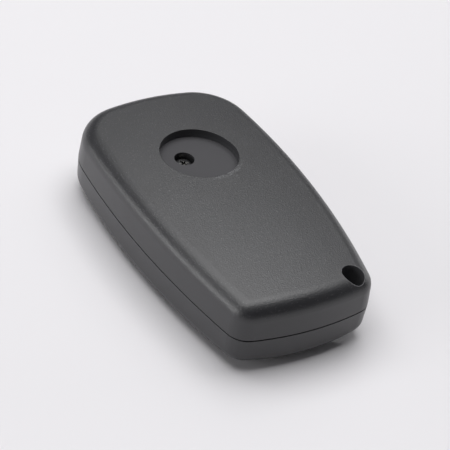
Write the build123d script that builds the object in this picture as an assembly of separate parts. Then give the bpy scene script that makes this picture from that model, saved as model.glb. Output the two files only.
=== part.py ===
from build123d import *
from math import sqrt
import os

# A folding car key shell, lying on its button side with the badge recess up.
# Millimetres. +Z is up, +Y runs to the wide end, where the blade is hinged,
# and the blade folds into the +X side. The origin is the middle of the footprint,
# on the surface that the shell lies on.

# Outline at the parting plane
LENGTH = 70.0
WIDE_HALF = 19.0  # half-width at the wide station
NARROW_HALF = 16.4  # half-width at the narrow station
WIDE_STATION = 10.0  # distance of the wide station from the wide end
NARROW_STATION = 7.0  # distance of the narrow station from the narrow end
SIDE_BULGE = 1.9  # how far a side bows out between the stations
WIDE_END_RADIUS = 73.5
NARROW_END_RADIUS = 60.4
WIDE_CORNER = 11.3
NARROW_CORNER = 4.6

# The two covers
WALL = 1.7
DRAFT = 3.0  # degrees
REAR_HEIGHT = 8.95  # from the parting plane to the top of the rear face
REAR_SWELL_ALONG = 1.3  # fall of the rear face from its middle to the ends
REAR_SWELL_ACROSS = 1.2  # fall of the rear face from its middle to the sides
REAR_RIM = 3.6
REAR_INNER_RIM = 1.9
FRONT_HEIGHT = 8.25  # from the resting face to the parting plane
FRONT_SWELL_ALONG = 1.9
FRONT_SWELL_ACROSS = 1.9
FRONT_FLAT = 0.4  # what the resting face takes off the front's swell
FRONT_RIM = 2.2
PARTING_GAP = 0.26  # shadow line between the covers
PARTING_DEPTH = 0.5
TONGUE_INSET = 0.8
TONGUE_HEIGHT = 0.9
TONGUE_CLEARANCE = 0.08
RIB = 1.2
CHANNEL_RIBS = 3

# Badge recess, and the screw in its floor
BADGE_RADIUS = 8.15
BADGE_FROM_END = 23.5
BADGE_DEPTH = 2.2
BADGE_FLOOR = 1.4
BADGE_WALL = 1.2
SCREW_X = -2.3
SCREW_FROM_BADGE = 1.6  # towards the wide end
SCREW_SINK = 1.1  # the screw's head below the badge floor
SCREW_HEAD_RADIUS = 1.9
SCREW_HEAD_HEIGHT = 1.3
SCREW_HEAD_ROUND = 0.8
SCREW_RADIUS = 1.0
SCREW_LENGTH = 7.0
SCREW_TIP = 1.2
SCREW_POINT = 0.25
SCREW_BITE = 0.12  # how far the thread cuts into the front boss
SCREW_CLEARANCE = 0.19
CROSS_WIDTH = 0.5
CROSS_LENGTH = 2.1
CROSS_DEPTH = 0.8
CROSS_TURN = 25.0  # where the screw came to rest
BOSS_WALL = 1.4

# Hole for the key ring
RING_RADIUS = 2.35
RING_FROM_SIDE = 5.5  # in from the half-width at the narrow station
RING_FROM_END = 4.4
RING_WALL = 1.2

# Hub, arm and blade
HUB_FROM_SIDE = 10.4
HUB_FROM_END = 11.6
HEAD_INSET = 0.6  # the arm's head in from the case side
ARM_LENGTH = 12.4
ARM_THICKNESS = 5.2
ARM_OVERHANG = 0.3
ARM_CORNER = 1.5
ARM_EDGE = 0.4
DRUM_RADIUS = 7.6
DRUM_RISE = 4.2  # from the parting plane to the drum's upper shoulder
JOURNAL_RADIUS = 5.9
JOURNAL_HEIGHT = 1.2
COLLAR_WALL = 1.5
COLLAR_HEIGHT = 1.8
SEAT_RISE = 0.7  # the hub's seat above the front floor
WASHER_THICKNESS = 0.3
SWING_GAP = 0.2
RUNNING = 0.05  # radial clearance of a running fit
BLADE_OFFSET = 4.2  # blade's centre line from the hub's axis
BLADE_LENGTH = 36.0  # out of the arm
BLADE_WIDTH = 8.0
BLADE_THICKNESS = 2.6
BLADE_POINT = 6.0
BLADE_TIP_WIDTH = 2.2
BLADE_TIP_ROUND = 0.9
BLADE_GROOVE = 2.4
BLADE_GROOVE_DEPTH = 0.5
TANG_LENGTH = 6.5
TANG_WIDTH = 6.0
PIN_RADIUS = 0.8
PIN_WALL = 0.25
PIN_FROM_END = 3.4

# Release button, flip spring and spring cup
BUTTON_RADIUS = 4.5
BUTTON_GAP = 0.2
BUTTON_PROUD = 0.1  # its domed face past the front face
BUTTON_SWELL = 0.6
BUTTON_FACE = 1.5
BUTTON_HEIGHT = 7.6
BUTTON_WALL = 0.9
BUTTON_TRAVEL = 2.0
LUG_REACH = 1.1
LUG_WIDTH = 2.2
LUG_HEIGHT = 1.2
LUG_GAP = 0.2
LUG_NOTCH = 0.9  # depth of the lock notches in the front collar
WIRE_RADIUS = 0.35
COIL_RADIUS = 2.8
COIL_TURNS = 5
LEG_LENGTH = 0.7
LEG_GAP = 0.1
CUP_THICKNESS = 0.8
CUP_GAP = 0.25
STUB_RADIUS = 2.1
STUB_FLAT = 1.4
STUB_HEIGHT = 0.9

# Remote keys, from the wide end
KEY_NAMES = ["lock_button", "boot_button", "unlock_button"]
KEY_X = -1.6
KEY_FROM_END = 31.4
KEY_PITCH = 10.2
KEY_WIDTH = 10.0
KEY_LENGTH = 7.6
KEY_CORNER = 3.2
KEY_GAP = 0.2
KEY_RECESS = 0.25
KEY_DISH = 0.25
KEY_DISH_RADIUS = 30.0
KEY_EAR = 0.7
KEY_EAR_THICKNESS = 0.8
KEY_PLAY = 0.05
KEY_TRAVEL = 0.7
KEY_WALL = 1.1
KEY_POST = 1.4

# Silicone pad, and the frame that holds it down
DOME_REST = 0.5  # height left under a pressed key
DOME_RADIUS = 2.9
DOME_TIP = 1.7
DOME_WALL = 0.5
PAD_THICKNESS = 0.8
PAD_LEDGE = 1.2
FRAME_THICKNESS = 1.0
FRAME_RAIL = 2.0
FRAME_WING = 3.2
FRAME_CORNER = 1.5
POST_RADIUS = 1.5
STAKE_RADIUS = 0.6
STAKE_HEAD = 1.1
STAKE_HEAD_HEIGHT = 0.4
STAKE_GAP = 0.05

# Coin cell cradle and its contacts
CELL_RADIUS = 10.0
CELL_THICKNESS = 3.2
CRADLE_FROM_SIDE = 13.6
CRADLE_FROM_END = 41.5
CRADLE_DROP = 4.2  # its seat below the top of the rear face
CRADLE_GAP = 0.2
CRADLE_WALL = 0.9
CRADLE_BASE = 1.0
CRADLE_HOLE = 5.0
CRADLE_LIP = 0.5
LIP_ANGLES = (30, 150, 270)
CRADLE_EAR = 1.9
CONTACT_THICKNESS = 0.3
CONTACT_WIDTH = 3.0
CONTACT_DROP = 0.7
CONTACT_TAB = 2.4
CONTACT_BEND = 1.0  # from the edge of the cradle's hole
CONTACT_ANGLE = -60.0

# Transponder holder
CHIP_FROM_SIDE = 11.0
CHIP_FROM_END = 11.8
CHIP_LENGTH = 12.0
CHIP_WIDTH = 4.2
CHIP_HEIGHT = 3.0
CHIP_WALL = 0.8
CHIP_RISE = 1.0  # its seat above the front floor
CHIP_FENCE = 1.8
CHIP_GAP = 0.1
CHIP_PLUG = 0.6

# Locating pegs between the covers
WIDE_PEG_INSET = (4.5, 21.0)  # in from the -X side, and from the end
NARROW_PEG_INSET = (2.9, 9.0)
PEG_RADIUS = 0.9
PEG_HEIGHT = 1.6
PEG_POST = 1.9
PEG_GAP = 0.1

CUT = 5.0  # how far a cutting tool runs past what it cuts
ROUNDEST = 0.49  # largest corner radius, as a share of the narrow side

# Levels and places worked out from the sizes above
HALF_LENGTH = LENGTH / 2
SEAM = FRONT_HEIGHT
TOP = SEAM + REAR_HEIGHT
HUB = (WIDE_HALF - HUB_FROM_SIDE, HALF_LENGTH - HUB_FROM_END)
RING = (NARROW_HALF - RING_FROM_SIDE, RING_FROM_END - HALF_LENGTH)
BADGE = (0.0, HALF_LENGTH - BADGE_FROM_END)
SCREW = (SCREW_X, BADGE[1] + SCREW_FROM_BADGE)
CRADLE = (CRADLE_FROM_SIDE - WIDE_HALF, HALF_LENGTH - CRADLE_FROM_END)
CHIP = (CHIP_FROM_SIDE - WIDE_HALF, HALF_LENGTH - CHIP_FROM_END)
PEG_PLACES = [
    (WIDE_PEG_INSET[0] - WIDE_HALF, HALF_LENGTH - WIDE_PEG_INSET[1]),
    (NARROW_PEG_INSET[0] - NARROW_HALF, NARROW_PEG_INSET[1] - HALF_LENGTH),
]


def block(x0, x1, y0, y1, z0, z1):
    """A box between two corners."""
    return Pos((x0 + x1) / 2, (y0 + y1) / 2, (z0 + z1) / 2) * Box(x1 - x0, y1 - y0, z1 - z0)


def disc(centre, radius, low, high):
    """A cylinder about a vertical axis, between two levels."""
    return Pos(centre[0], centre[1], (low + high) / 2) * Cylinder(radius, high - low)


def ring(centre, outer, inner, low, high):
    """A tube about a vertical axis, between two levels."""
    return disc(centre, outer, low, high) - disc(centre, inner, low - CUT, high + CUT)


def plate(sketch, low, high):
    """A sketch raised between two levels."""
    return Pos(0, 0, low) * extrude(sketch, high - low)


def pill(centre, width, length, corner, low, high):
    """A rounded rectangle raised between two levels."""
    corner = min(corner, ROUNDEST * min(width, length))
    return plate(Pos(*centre) * RectangleRounded(width, length, corner), low, high)


# The outline, four arcs that meet in rounded corners


def side_circle():
    """Centre and radius of the arc that the +X side follows."""
    wide = Vector(WIDE_HALF, HALF_LENGTH - WIDE_STATION)
    narrow = Vector(NARROW_HALF, NARROW_STATION - HALF_LENGTH)
    chord = wide - narrow
    radius = sag_radius(chord.length / 2, SIDE_BULGE)
    outward = Vector(chord.Y, -chord.X).normalized()
    return (wide + narrow) / 2 - outward * (radius - SIDE_BULGE), radius


def sag_radius(half, sag):
    """Radius of an arc that falls by a sag over half its chord."""
    return (half**2 + sag**2) / (2 * sag)


def corner_point(end_y, end_radius, side, side_radius):
    """Where an end arc, centred on the Y axis, crosses the +X side arc."""
    centre = Vector(0, end_y)
    apart = side - centre
    along = (end_radius**2 - side_radius**2 + apart.length**2) / (2 * apart.length)
    unit = apart.normalized()
    normal = Vector(-unit.Y, unit.X) * sqrt(end_radius**2 - along**2)
    foot = centre + unit * along
    return max(foot + normal, foot - normal, key=lambda point: point.X)


def outline(inset=0.0):
    """The case outline, moved in by an inset all round."""
    side, radius = side_circle()
    radius -= inset
    end = HALF_LENGTH - inset
    wide = corner_point(HALF_LENGTH - WIDE_END_RADIUS, WIDE_END_RADIUS - inset, side, radius)
    narrow = corner_point(NARROW_END_RADIUS - HALF_LENGTH, NARROW_END_RADIUS - inset, side, radius)
    middle = side + ((wide + narrow) / 2 - side).normalized() * radius
    right = [(p.X, p.Y) for p in (narrow, middle, wide)]
    left = [(-x, y) for x, y in right]
    sides = [ThreePointArc(*right), ThreePointArc(*left)]
    ends = [
        ThreePointArc(left[2], (0, end), right[2]),
        ThreePointArc(left[0], (0, -end), right[0]),
    ]
    face = make_face(sides + ends)
    face = fillet(face.vertices().sort_by(Axis.Y)[-2:], WIDE_CORNER - inset)
    return fillet(face.vertices().sort_by(Axis.Y)[:2], NARROW_CORNER - inset)


# The two domed half forms, which the covers are cut from


def dome(height, along, across, inset):
    """A solid under a face that falls away both along and across the case."""
    far = HALF_LENGTH + CUT
    half = WIDE_HALF + SIDE_BULGE + CUT
    radius = sag_radius(WIDE_HALF, across) - inset
    sections = []
    for y in (-far, 0, far):
        top = height - inset - along * (y / HALF_LENGTH) ** 2
        edge = top - radius + sqrt(radius**2 - half**2)
        arc = ThreePointArc((-half, edge), (0, top), (half, edge))
        rest = Polyline((half, edge), (half, -CUT), (-half, -CUT), (-half, edge))
        sections.append(Pos(0, y, 0) * (Plane.XZ * make_face([arc, rest])))
    return loft(sections)


def half_form(height, along, across, rim, inset=0.0):
    """One half of the case, standing on its parting face, with a swelling top."""
    body = extrude(outline(inset), height + CUT, taper=DRAFT)
    body = body & dome(height, along, across, inset)
    if rim > 0:
        body = fillet(body.faces().sort_by(Axis.Z)[-1].edges(), rim)
    return body


def rear_form(rim=REAR_RIM, inset=0.0):
    """Outside of the rear cover, or its inside if an inset is given."""
    form = half_form(REAR_HEIGHT, REAR_SWELL_ALONG, REAR_SWELL_ACROSS, rim, inset)
    return Pos(0, 0, SEAM) * form


def front_form(rim=FRONT_RIM, inset=0.0):
    """Outside of the front cover, or its inside if an inset is given."""
    swell = (FRONT_SWELL_ALONG, FRONT_SWELL_ACROSS)
    form = half_form(FRONT_HEIGHT + FRONT_FLAT, *swell, rim, inset)
    return Pos(0, 0, SEAM) * mirror(form, Plane.XY)


def face_height(height, along, across, x, y):
    """Height of a half form's swelling face above the parting plane."""
    radius = sag_radius(WIDE_HALF, across)
    return height - along * (y / HALF_LENGTH) ** 2 - radius + sqrt(radius**2 - x**2)


def rear_level(x, y):
    """Level of the rear face at a place."""
    return SEAM + face_height(REAR_HEIGHT, REAR_SWELL_ALONG, REAR_SWELL_ACROSS, x, y)


def front_level(x, y):
    """Level of the front face at a place."""
    swell = (FRONT_SWELL_ALONG, FRONT_SWELL_ACROSS)
    return max(0.0, SEAM - face_height(FRONT_HEIGHT + FRONT_FLAT, *swell, x, y))


BADGE_LEVEL = rear_level(*BADGE) - BADGE_DEPTH
SCREW_SEAT = BADGE_LEVEL - SCREW_SINK - SCREW_HEAD_HEIGHT
SCREW_HOLE = SCREW_RADIUS + SCREW_CLEARANCE
SCREW_POCKET = SCREW_HEAD_RADIUS + SCREW_CLEARANCE
ARM_LOW = SEAM - ARM_THICKNESS / 2
ARM_HIGH = SEAM + ARM_THICKNESS / 2
ARM_END = HUB[1] - ARM_LENGTH
HEAD_RADIUS = HUB_FROM_SIDE - HEAD_INSET
HUB_SPAN = (HUB[1] - HEAD_RADIUS, HUB[1] + HEAD_RADIUS)
HUB_SEAT = front_level(*HUB) + WALL + SEAT_RISE
COLLAR_TOP = HUB_SEAT + COLLAR_HEIGHT
COLLAR_RADIUS = JOURNAL_RADIUS + RUNNING + COLLAR_WALL
DRUM_TOP = SEAM + DRUM_RISE
WASHER_LOW = DRUM_TOP + RUNNING
REAR_COLLAR_LOW = WASHER_LOW + WASHER_THICKNESS
CUP_SEAT = DRUM_TOP + JOURNAL_HEIGHT + SWING_GAP
BLADE_X = HUB[0] + BLADE_OFFSET
BLADE_INNER = BLADE_X - BLADE_WIDTH / 2 - SWING_GAP
BLADE_TIP = ARM_END - BLADE_LENGTH
BLADE_ROOM = BLADE_THICKNESS / 2 + SWING_GAP
PIN = (BLADE_X, ARM_END + PIN_FROM_END)
BUTTON_LOW = front_level(*HUB) - BUTTON_PROUD
BUTTON_FLOOR = BUTTON_LOW + BUTTON_FACE
LUG_LOW = HUB_SEAT + RUNNING
LUG_RADIUS = BUTTON_RADIUS + LUG_REACH
KEYS = [(KEY_X, HALF_LENGTH - KEY_FROM_END - i * KEY_PITCH) for i in range(len(KEY_NAMES))]
KEY_FLANGE = WALL + KEY_PLAY
KEY_TOP = KEY_FLANGE + KEY_EAR_THICKNESS
DOME_HEIGHT = KEY_TRAVEL + DOME_REST
PAD_LOW = KEY_TOP + KEY_PLAY + DOME_HEIGHT
PAD_HIGH = PAD_LOW + PAD_THICKNESS
PAD_BORDER = 2 * (KEY_EAR + KEY_GAP + PAD_LEDGE)
PAD_WIDTH = KEY_WIDTH + PAD_BORDER
PAD_LENGTH = (len(KEYS) - 1) * KEY_PITCH + KEY_LENGTH + PAD_BORDER
PAD = (KEY_X, (KEYS[0][1] + KEYS[-1][1]) / 2)
FRAME_HIGH = PAD_HIGH + FRAME_THICKNESS
FRAME_LENGTH = PAD_LENGTH + 2 * FRAME_WING
CRADLE_TOP = TOP - CRADLE_DROP
CRADLE_CEILING = CRADLE_TOP - CRADLE_BASE
CRADLE_LOW = CRADLE_CEILING - CELL_THICKNESS - CRADLE_GAP
CRADLE_INNER = CELL_RADIUS + CRADLE_GAP
CRADLE_OUTER = CRADLE_INNER + CRADLE_WALL
CHIP_SEAT = front_level(*CHIP) + WALL + CHIP_RISE
CHIP_TOP = CHIP_SEAT + CHIP_WALL + CHIP_HEIGHT
CHIP_SIZE = (CHIP_WIDTH + 2 * CHIP_WALL, CHIP_LENGTH + 2 * CHIP_WALL)


def frame_posts():
    """Places of the four posts that the pad frame is staked to."""
    x = PAD_WIDTH / 2 - POST_RADIUS
    y = PAD_LENGTH / 2 + POST_RADIUS + KEY_GAP
    return [(PAD[0] + i * x, PAD[1] + j * y) for i in (-1, 1) for j in (-1, 1)]


def cradle_ears():
    """Places of the two ears that hold the cradle up."""
    y = CRADLE_OUTER + STAKE_HEAD + STAKE_GAP
    return [(CRADLE[0], CRADLE[1] - y), (CRADLE[0], CRADLE[1] + y)]


def stake(place, low, high, head_up):
    """A post's stake between two levels, with its melted head above or below."""
    level = high if head_up else low - STAKE_HEAD_HEIGHT
    head = disc(place, STAKE_HEAD, level, level + STAKE_HEAD_HEIGHT)
    return disc(place, STAKE_RADIUS, low, high) + head


# Spaces cut from both covers


def arm_space():
    """All that the arm sweeps as it turns from folded to open."""
    low = ARM_LOW - SWING_GAP
    high = ARM_HIGH + SWING_GAP
    x, y = HUB
    reach = sqrt(HEAD_RADIUS**2 + ARM_LENGTH**2) + SWING_GAP
    inner = ARM_OVERHANG + SWING_GAP
    outer = reach + CUT
    end = ARM_LENGTH + SWING_GAP
    half = disc(HUB, reach, low, high) & block(x, x + outer, y - end, y + outer, low, high)
    folded = block(x - inner, x + outer, y - end, y, low, high)
    opened = block(x - HEAD_RADIUS - SWING_GAP, x + inner, y, y + outer, low, high)
    return half + folded + opened + disc(HUB, HEAD_RADIUS + SWING_GAP, low, high)


def blade_space():
    """The slot in the +X side that the folded blade lies in."""
    side = WIDE_HALF + SIDE_BULGE + CUT
    y0 = BLADE_TIP - SWING_GAP
    return block(BLADE_INNER, side, y0, ARM_END, SEAM - BLADE_ROOM, SEAM + BLADE_ROOM)


def channel_walls(low, high, rib_low, rib_high):
    """Walls round the blade's slot, and the ribs between them and the side."""
    side = WIDE_HALF + SIDE_BULGE
    y0 = BLADE_TIP - SWING_GAP
    y1 = ARM_END - SWING_GAP
    walls = block(BLADE_INNER - RIB, BLADE_INNER, y0 - RIB, y1, low, high)
    walls += block(BLADE_INNER - RIB, side, y0 - RIB, y0, low, high)
    pitch = (y1 - y0) / CHANNEL_RIBS
    for i in range(CHANNEL_RIBS):
        y = y0 + (i + 0.5) * pitch
        walls += block(BLADE_INNER, side, y, y + RIB, rib_low, rib_high)
    return walls


def tongue(inset, height):
    """A lip on the front cover's edge, or the rebate for it in the rear cover."""
    lip = plate(outline(inset), SEAM, SEAM + height)
    lip -= plate(outline(WALL + TONGUE_CLEARANCE), SEAM - CUT, SEAM + CUT)
    lip -= disc(RING, RING_RADIUS + RING_WALL + TONGUE_CLEARANCE, SEAM - CUT, SEAM + CUT)
    return lip


# Rear cover


def rear_fittings():
    """What stands inside the rear cover: cup, bosses, posts and ribs."""
    cup = disc(BADGE, BADGE_RADIUS + BADGE_WALL, BADGE_LEVEL - BADGE_FLOOR, TOP)
    boss = disc(SCREW, SCREW_POCKET + BOSS_WALL, SEAM, BADGE_LEVEL)
    tube = disc(RING, RING_RADIUS + RING_WALL, SEAM, TOP)
    hub = disc(HUB, COLLAR_RADIUS, REAR_COLLAR_LOW, TOP)
    seat = ring(CRADLE, CRADLE_INNER, CRADLE_INNER - RIB, CRADLE_TOP, TOP)
    fittings = cup + boss + tube + hub + seat
    fittings += channel_walls(SEAM, TOP, SEAM + BLADE_ROOM, TOP)
    for place in PEG_PLACES:
        fittings += disc(place, PEG_POST, SEAM, TOP)
    fittings -= disc(CRADLE, CRADLE_OUTER + CRADLE_GAP, SEAM, CRADLE_TOP)
    for place in cradle_ears():
        fittings += disc(place, CRADLE_EAR, CRADLE_TOP, TOP)
    return fittings


def cup_socket():
    """The flatted hole that keeps the spring cup from turning."""
    hole = disc(HUB, STUB_RADIUS + STAKE_GAP, CUP_SEAT - CUT, CUP_SEAT + STUB_HEIGHT + LEG_GAP)
    flat = HUB[0] + STUB_FLAT + STAKE_GAP
    return hole & block(flat - 2 * CUT, flat, *HUB_SPAN, 0, TOP)


def rear_cover():
    """The upper cover, with the badge recess, the screw hole and the ring hole."""
    hollow = rear_form(REAR_INNER_RIM, WALL) - rear_fittings()
    cover = rear_form() - hollow
    cover -= disc(BADGE, BADGE_RADIUS, BADGE_LEVEL, TOP + CUT)
    cover -= disc(SCREW, SCREW_POCKET, SCREW_SEAT, BADGE_LEVEL + CUT)
    cover -= disc(SCREW, SCREW_HOLE, SEAM - CUT, SCREW_SEAT + CUT)
    cover -= disc(RING, RING_RADIUS, SEAM - CUT, TOP + CUT)
    cover -= disc(HUB, JOURNAL_RADIUS + RUNNING, SEAM, CUP_SEAT)
    cover -= cup_socket()
    cover -= tongue(TONGUE_INSET, TONGUE_HEIGHT + TONGUE_CLEARANCE)
    cover -= arm_space()
    cover -= blade_space()
    for place in PEG_PLACES:
        cover -= disc(place, PEG_RADIUS + PEG_GAP, SEAM - CUT, SEAM + PEG_HEIGHT + PEG_GAP)
    for place in cradle_ears():
        cover += stake(place, CRADLE_CEILING, CRADLE_TOP, False)
    return cover


# Front cover


def front_fittings():
    """What stands inside the front cover: hub pad, bosses, posts, ledge and ribs."""
    hub = disc(HUB, COLLAR_RADIUS, -CUT, COLLAR_TOP)
    boss = disc(SCREW, SCREW_HOLE + BOSS_WALL, 0, SEAM)
    tube = disc(RING, RING_RADIUS + RING_WALL, 0, SEAM)
    ledge = pill(PAD, PAD_WIDTH, PAD_LENGTH, FRAME_CORNER, 0, PAD_LOW)
    fittings = hub + boss + tube + ledge
    fittings += channel_walls(0, SEAM, 0, SEAM - BLADE_ROOM)
    for place in PEG_PLACES:
        fittings += disc(place, PEG_POST, 0, SEAM)
    for place in frame_posts():
        fittings += disc(place, POST_RADIUS, 0, PAD_HIGH)
    return fittings + chip_fence()


def chip_fence():
    """Two end stops and two cross ribs that the transponder holder sits on."""
    width = CHIP_SIZE[0] / 2
    half = CHIP_SIZE[1] / 2 + CHIP_GAP
    x, y = CHIP
    stops = []
    for side in (-1, 1):
        near, far = sorted((y + side * half, y + side * (half + RIB)))
        stop = block(x - width, x + width, near, far, 0, CHIP_SEAT + CHIP_FENCE)
        rib_y = y + side * CHIP_LENGTH / 4
        stops.append(stop + block(x - width, x + width, rib_y - RIB / 2, rib_y + RIB / 2, 0, CHIP_SEAT))
    return stops[0] + stops[1]


def front_hub_holes():
    """The button's hole, the journal's bore and the two lock notches."""
    holes = disc(HUB, BUTTON_RADIUS + BUTTON_GAP, -CUT, COLLAR_TOP + CUT)
    holes += disc(HUB, JOURNAL_RADIUS + RUNNING, HUB_SEAT, COLLAR_TOP + CUT)
    reach = JOURNAL_RADIUS + LUG_NOTCH
    half = LUG_WIDTH / 2 + LUG_GAP
    x, y = HUB
    return holes + block(x - reach, x + reach, y - half, y + half, HUB_SEAT, COLLAR_TOP + CUT)


def key_windows():
    """A window for each remote key, and the flat bed that their flanges lie on."""
    bed = pill(PAD, PAD_WIDTH - 2 * PAD_LEDGE, PAD_LENGTH - 2 * PAD_LEDGE, KEY_CORNER, WALL, SEAM)
    for place in KEYS:
        size = (KEY_WIDTH + 2 * KEY_GAP, KEY_LENGTH + 2 * KEY_GAP)
        bed += pill(place, *size, KEY_CORNER + KEY_GAP, -CUT, WALL + CUT)
    return bed


def front_cover():
    """The lower cover, with the remote keys' windows and the release button's hole."""
    cover = front_form() - (front_form(0.0, WALL) - front_fittings())
    groove = plate(outline(-PARTING_DEPTH), SEAM - PARTING_GAP, SEAM)
    groove -= plate(outline(PARTING_DEPTH), SEAM - CUT, SEAM + CUT)
    cover -= groove
    cover += tongue(TONGUE_INSET + TONGUE_CLEARANCE, TONGUE_HEIGHT)
    cover -= disc(SCREW, SCREW_RADIUS - SCREW_BITE, SCREW_SEAT - SCREW_LENGTH - LUG_GAP, SEAM + CUT)
    cover -= disc(RING, RING_RADIUS, -CUT, SEAM + CUT)
    cover -= front_hub_holes()
    cover -= key_windows()
    cover -= arm_space()
    cover -= blade_space()
    cover -= block(-LENGTH, LENGTH, -LENGTH, LENGTH, -CUT, 0)
    for place in PEG_PLACES:
        cover += disc(place, PEG_RADIUS, SEAM, SEAM + PEG_HEIGHT)
    for place in frame_posts():
        cover += stake(place, PAD_HIGH, FRAME_HIGH, True)
    return cover


def cover_screw():
    """A pan-head screw with a cross recess, a plain shank and a tapered tip."""
    head = disc(SCREW, SCREW_HEAD_RADIUS, SCREW_SEAT, SCREW_SEAT + SCREW_HEAD_HEIGHT)
    head = fillet(head.edges().sort_by(Axis.Z)[-1], SCREW_HEAD_ROUND)
    top = SCREW_SEAT + SCREW_HEAD_HEIGHT
    for turn in (0, 90):
        slot = Box(CROSS_LENGTH, CROSS_WIDTH, 2 * CROSS_DEPTH)
        head -= Pos(SCREW[0], SCREW[1], top) * Rot(0, 0, CROSS_TURN + turn) * slot
    low = SCREW_SEAT - SCREW_LENGTH
    shank = disc(SCREW, SCREW_RADIUS, low + SCREW_TIP, SCREW_SEAT)
    tip = Cone(SCREW_POINT, SCREW_RADIUS, SCREW_TIP)
    return head + shank + Pos(*SCREW, low + SCREW_TIP / 2) * tip


# Blade, arm and hub


def key_blade():
    """The uncut blade: a shouldered tang, a grooved shank and a pointed tip."""
    half = BLADE_WIDTH / 2
    tang = TANG_WIDTH / 2
    tip = BLADE_TIP_WIDTH / 2
    right = [
        (tang, ARM_END + TANG_LENGTH),
        (tang, ARM_END),
        (half, ARM_END),
        (half, BLADE_TIP + BLADE_POINT),
        (tip, BLADE_TIP),
    ]
    left = [(-x, y) for x, y in reversed(right)]
    shape = make_face(Polyline(*right, *left, close=True))
    shape = fillet(shape.vertices().sort_by(Axis.Y)[:2], BLADE_TIP_ROUND)
    low = SEAM - BLADE_THICKNESS / 2
    blade = Pos(BLADE_X, 0, 0) * plate(shape, low, low + BLADE_THICKNESS)
    for level in (low, low + BLADE_THICKNESS):
        groove = block(
            BLADE_X - BLADE_GROOVE / 2,
            BLADE_X + BLADE_GROOVE / 2,
            BLADE_TIP - CUT,
            ARM_END - half,
            level - BLADE_GROOVE_DEPTH,
            level + BLADE_GROOVE_DEPTH,
        )
        blade -= groove
    return blade - disc(PIN, PIN_RADIUS, 0, TOP)


def blade_arm():
    """The moulded arm: a round head on the hub's axis, and the blade's socket."""
    x, y = HUB
    slab = block(x - ARM_OVERHANG, x + HEAD_RADIUS, ARM_END, y, ARM_LOW, ARM_HIGH)
    outer = slab.edges().filter_by(Axis.Z).sort_by(Axis.X)[-2:].sort_by(Axis.Y)[0]
    slab = fillet(outer, ARM_CORNER)
    arm = slab + disc(HUB, HEAD_RADIUS, ARM_LOW, ARM_HIGH)
    rim = arm.faces().filter_by(Axis.Z)
    arm = chamfer(rim.sort_by(Axis.Z)[0].edges() + rim.sort_by(Axis.Z)[-1].edges(), ARM_EDGE)
    arm += disc(HUB, DRUM_RADIUS, COLLAR_TOP + SWING_GAP, DRUM_TOP)
    arm += disc(HUB, JOURNAL_RADIUS, HUB_SEAT + SWING_GAP / 2, DRUM_TOP + JOURNAL_HEIGHT)
    arm -= disc(HUB, BUTTON_RADIUS + RUNNING, 0, TOP)
    arm -= lug_ways()
    return arm - tang_socket() - disc(PIN, PIN_RADIUS, 0, TOP)


def lug_ways():
    """The two ways in the hub that the button's lugs slide in."""
    reach = LUG_RADIUS + LUG_GAP
    half = LUG_WIDTH / 2 + RUNNING
    high = LUG_LOW + LUG_HEIGHT + BUTTON_TRAVEL + LUG_GAP
    x, y = HUB
    return block(x - reach, x + reach, y - half, y + half, 0, high)


def tang_socket():
    """The blind slot in the arm that holds the blade's tang."""
    half = TANG_WIDTH / 2 + RUNNING
    room = BLADE_THICKNESS / 2 + RUNNING
    far = ARM_END + TANG_LENGTH + RUNNING
    return block(BLADE_X - half, BLADE_X + half, ARM_END - CUT, far, SEAM - room, SEAM + room)


def blade_pin():
    """A rolled pin through the arm and the tang, split down one side."""
    radius = PIN_RADIUS - RUNNING / 2
    pin = ring(PIN, radius, radius - PIN_WALL, ARM_LOW, ARM_HIGH)
    return pin - block(PIN[0], PIN[0] + CUT, PIN[1] - PIN_WALL / 2, PIN[1] + PIN_WALL / 2, 0, TOP)


def hub_washer():
    """A thin washer between the hub's shoulder and the rear cover's collar."""
    return ring(HUB, COLLAR_RADIUS, JOURNAL_RADIUS + LUG_GAP, WASHER_LOW, REAR_COLLAR_LOW)


def release_button():
    """The round button in the hub: a domed face, a hollow skirt and two lugs."""
    top = BUTTON_LOW + BUTTON_HEIGHT
    radius = sag_radius(BUTTON_RADIUS, BUTTON_SWELL)
    button = disc(HUB, BUTTON_RADIUS, BUTTON_LOW, top)
    button = button & Pos(*HUB, BUTTON_LOW + radius) * Sphere(radius)
    reach = LUG_RADIUS + CUT
    half = LUG_WIDTH / 2
    x, y = HUB
    lug_high = LUG_LOW + LUG_HEIGHT
    lugs = block(x - reach, x + reach, y - half, y + half, LUG_LOW, lug_high)
    button += lugs & disc(HUB, LUG_RADIUS, LUG_LOW, lug_high)
    button -= disc(HUB, BUTTON_RADIUS - BUTTON_WALL, BUTTON_FLOOR, top + CUT)
    leg = (HUB[0] + COIL_RADIUS, HUB[1])
    return button - disc(leg, WIRE_RADIUS + LEG_GAP, BUTTON_FLOOR - LEG_LENGTH - LEG_GAP, top)


def spring_cup():
    """The cap over the spring, with a flatted stub and a hole for the spring's leg."""
    cup = disc(HUB, BUTTON_RADIUS - CUP_GAP, CUP_SEAT - CUP_THICKNESS, CUP_SEAT)
    stub = disc(HUB, STUB_RADIUS, CUP_SEAT, CUP_SEAT + STUB_HEIGHT)
    flat = HUB[0] + STUB_FLAT
    stub = stub & block(flat - 2 * CUT, flat, *HUB_SPAN, CUP_SEAT, TOP)
    leg = (HUB[0] + COIL_RADIUS, HUB[1])
    return cup + stub - disc(leg, WIRE_RADIUS + LEG_GAP, 0, CUP_SEAT)


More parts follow.
